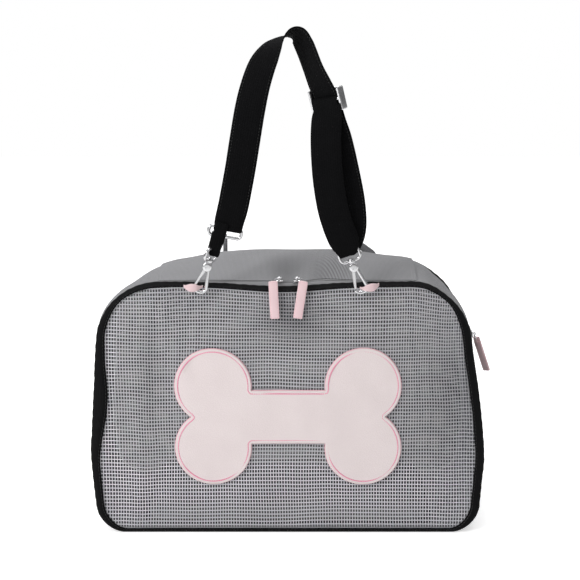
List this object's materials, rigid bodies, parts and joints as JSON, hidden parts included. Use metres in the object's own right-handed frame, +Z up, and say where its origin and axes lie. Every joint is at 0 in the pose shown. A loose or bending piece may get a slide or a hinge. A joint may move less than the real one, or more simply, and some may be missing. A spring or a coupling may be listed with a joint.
{
  "type": "pet carrier bag",
  "caption": "Soft mesh pet carrier bag with a zipped crowned lid, a zipped side door, a padded floor and a clip-on webbing strap with swivel hooks.",
  "frame": {"origin": "centre of the base's underside, on the floor", "axes": "+Z up, -Y to the front (the side with the patch), +X to the right seen from the front"},
  "size_m": [0.4399, 0.1957, 0.5474],
  "materials": {
    "mesh_fabric": "open coated mesh, light grey threads",
    "grey_fabric": "grey woven cover",
    "black_webbing": "matt black woven webbing and tape",
    "pink_leather": "pale pink coated leather, light grain",
    "pink_webbing": "pink woven tape",
    "nickel_steel": "bright nickel plate",
    "black_plastic": "matt sheet"
  },
  "bodies": {
    "bag": {"base_board": "black_plastic", "base_panel": "grey_fabric", "door_zip_body_tape": "grey_fabric", "floor_pad": "grey_fabric", "front_applique": "pink_leather", "front_binding": "black_webbing", "front_frame_hoop": "nickel_steel", "front_mesh_panel": "mesh_fabric", "left_front_loop": "pink_webbing", "left_rear_loop": "grey_fabric", "left_side_panel": "grey_fabric", "rear_binding": "black_webbing", "rear_frame_hoop": "nickel_steel", "rear_mesh_panel": "mesh_fabric", "right_front_loop": "pink_webbing", "right_rear_loop": "grey_fabric", "right_side_panel": "grey_fabric", "top_zip_body_tape": "grey_fabric"},
    "lid": {"lid_panel": "grey_fabric", "top_zip_lid_tape": "grey_fabric"},
    "slider_left": {"top_slider_left": "nickel_steel"},
    "slider_right": {"top_slider_right": "nickel_steel"},
    "pull_left": {"top_pull_left_wire": "nickel_steel", "top_pull_left_tab": "pink_leather"},
    "pull_right": {"top_pull_right_wire": "nickel_steel", "top_pull_right_tab": "pink_leather"},
    "door": {"side_door_panel": "mesh_fabric", "door_zip_door_tape": "grey_fabric"},
    "door_slider": {"door_slider": "nickel_steel"},
    "door_pull": {"door_pull_wire": "nickel_steel", "door_pull_tab": "pink_leather"},
    "strap": {"strap_webbing": "black_webbing", "strap_return_webbing": "black_webbing", "strap_ring": "nickel_steel", "hook_tab": "black_webbing", "left_swivel_eye": "nickel_steel", "right_swivel_eye": "nickel_steel"},
    "left_hook": {"left_hook_body": "nickel_steel", "left_gate_rivet": "nickel_steel"},
    "right_hook": {"right_hook_body": "nickel_steel", "right_gate_rivet": "nickel_steel"},
    "left_gate": {"left_gate": "nickel_steel"},
    "right_gate": {"right_gate": "nickel_steel"},
    "adjuster": {"strap_adjuster": "nickel_steel", "strap_end_loop": "black_webbing"}
  },
  "joints": [
    {"name": "lid_hinge", "type": "hinge", "parent": "bag", "child": "lid", "pos_m": [0, 0.0708, 0.2755], "axis": [-1, 0, 0], "range_deg": [0, 80]},
    {"name": "top_slider_left_slide", "type": "slide", "parent": "lid", "child": "slider_left", "axis": [-1, 0, 0], "range_m": [0, 0.12], "deforming": ["top_pull_left_tab"]},
    {"name": "top_slider_right_slide", "type": "slide", "parent": "lid", "child": "slider_right", "axis": [1, 0, 0], "range_m": [0, 0.12], "deforming": ["top_pull_right_tab"]},
    {"name": "top_pull_left_hinge", "type": "hinge", "parent": "slider_left", "child": "pull_left", "pos_m": [-0.0095, -0.0658, 0.27855], "axis": [-1, 0, 0], "range_deg": [0, 100]},
    {"name": "top_pull_right_hinge", "type": "hinge", "parent": "slider_right", "child": "pull_right", "pos_m": [0.0095, -0.0658, 0.27855], "axis": [-1, 0, 0], "range_deg": [0, 100]},
    {"name": "side_door_hinge", "type": "hinge", "parent": "bag", "child": "door", "pos_m": [0.2094, 0, 0.0404], "axis": [0, 1, 0], "range_deg": [0, 90]},
    {"name": "door_slider_slide", "type": "slide", "parent": "door", "child": "door_slider", "axis": [0, 1, 0], "range_m": [0, 0.052]},
    {"name": "door_pull_hinge", "type": "hinge", "parent": "door_slider", "child": "door_pull", "pos_m": [0.20758, -0.024, 0.20725], "axis": [0, -1, 0], "range_deg": [-10, 110]},
    {"name": "strap_swing", "type": "hinge", "parent": "bag", "child": "strap", "pos_m": [-0.008, -0.0847, 0.267], "axis": [1, 0, 0], "range_deg": [-17, 150], "deforming": ["left_front_loop", "right_front_loop"]},
    {"name": "left_hook_swivel", "type": "hinge", "parent": "strap", "child": "left_hook", "pos_m": [-0.0855, -0.0847, 0.2952], "axis": [0.342, 0, 0.9397], "range_deg": [-15, 15]},
    {"name": "right_hook_swivel", "type": "hinge", "parent": "strap", "child": "right_hook", "pos_m": [0.0694, -0.0847, 0.2947], "axis": [-0.342, 0, 0.9397], "range_deg": [-15, 15]},
    {"name": "left_gate_hinge", "type": "hinge", "parent": "left_hook", "child": "left_gate", "pos_m": [-0.08697, -0.0847, 0.29467], "axis": [0, -1, 0], "range_deg": [0, 19], "stiffness_Nm_per_rad": 0.02},
    {"name": "right_gate_hinge", "type": "hinge", "parent": "right_hook", "child": "right_gate", "pos_m": [0.06861, -0.0847, 0.29335], "axis": [0, -1, 0], "range_deg": [0, 19], "stiffness_Nm_per_rad": 0.02},
    {"name": "adjuster_slide", "type": "slide", "parent": "strap", "child": "adjuster", "axis": [-0.2317, 0, 0.9728], "range_m": [-0.028, 0.008], "deforming": ["strap_return_webbing"]}
  ]
}
